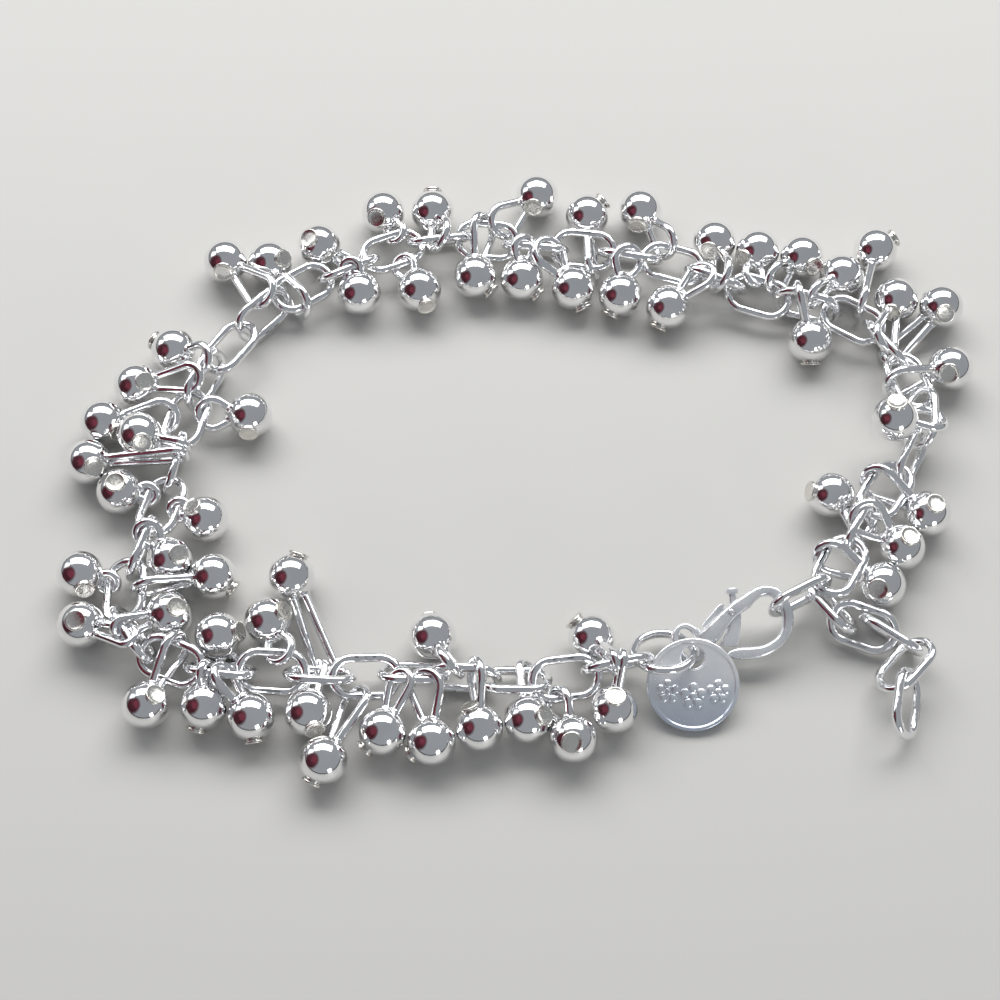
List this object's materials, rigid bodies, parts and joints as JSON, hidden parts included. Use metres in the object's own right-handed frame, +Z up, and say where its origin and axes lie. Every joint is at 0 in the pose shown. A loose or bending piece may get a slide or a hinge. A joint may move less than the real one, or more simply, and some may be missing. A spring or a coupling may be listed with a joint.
{
  "type": "beaded bracelet",
  "caption": "Silver cable-chain bracelet clustered with polished balls on looped pins, closed by a lobster clasp, with a round tag and a short extension tail of links",
  "frame": {"origin": "on the table, under the middle of the bracelet's outline", "axes": "+Z up from the table it lies on, +X along the long way of the closed loop towards the clasp end, +Y away from the clasp side"},
  "size_m": [0.0842, 0.0634, 0.0078],
  "materials": {
    "silver_chain": "mirror polish",
    "silver_ring": "mirror polish",
    "silver_tag": "polished, lightly scratched",
    "silver_clasp": "polished"
  },
  "bodies": {
    "bracelet": {"link_01": "silver_chain", "link_02": "silver_chain", "link_03": "silver_chain", "link_04": "silver_chain", "link_05": "silver_chain", "link_06": "silver_chain", "link_07": "silver_chain", "link_08": "silver_chain", "link_09": "silver_chain", "link_10": "silver_chain", "link_11": "silver_chain", "link_12": "silver_chain", "link_13": "silver_chain", "link_14": "silver_chain", "link_15": "silver_chain", "link_16": "silver_chain", "link_17": "silver_chain", "link_18": "silver_chain", "link_19": "silver_chain", "link_20": "silver_chain", "link_21": "silver_chain", "link_22": "silver_chain", "link_23": "silver_chain", "link_24": "silver_chain", "link_25": "silver_chain", "link_26": "silver_chain", "link_27": "silver_chain", "link_28": "silver_chain", "link_29": "silver_chain", "link_30": "silver_chain", "link_31": "silver_chain", "link_32": "silver_chain", "link_33": "silver_chain", "link_34": "silver_chain", "link_35": "silver_chain", "link_36": "silver_chain", "link_37": "silver_chain", "link_38": "silver_chain", "link_39": "silver_chain", "clasp_link": "silver_chain", "tail_link_1": "silver_chain", "tail_link_2": "silver_chain", "tail_link_3": "silver_chain", "tail_link_4": "silver_chain", "tail_link_5": "silver_chain", "jump_ring": "silver_ring", "tag_disc": "silver_tag", "clasp_body": "silver_clasp", "clasp_pin": "silver_clasp"},
    "lever": {"clasp_lever": "silver_clasp"}
  },
  "joints": [
    {"name": "clasp_lever_hinge", "type": "hinge", "parent": "bracelet", "child": "lever", "pos_m": [0.01799, -0.01589, 0.00317], "axis": [0, -0.3256, 0.9455], "range_deg": [0, 25]}
  ]
}
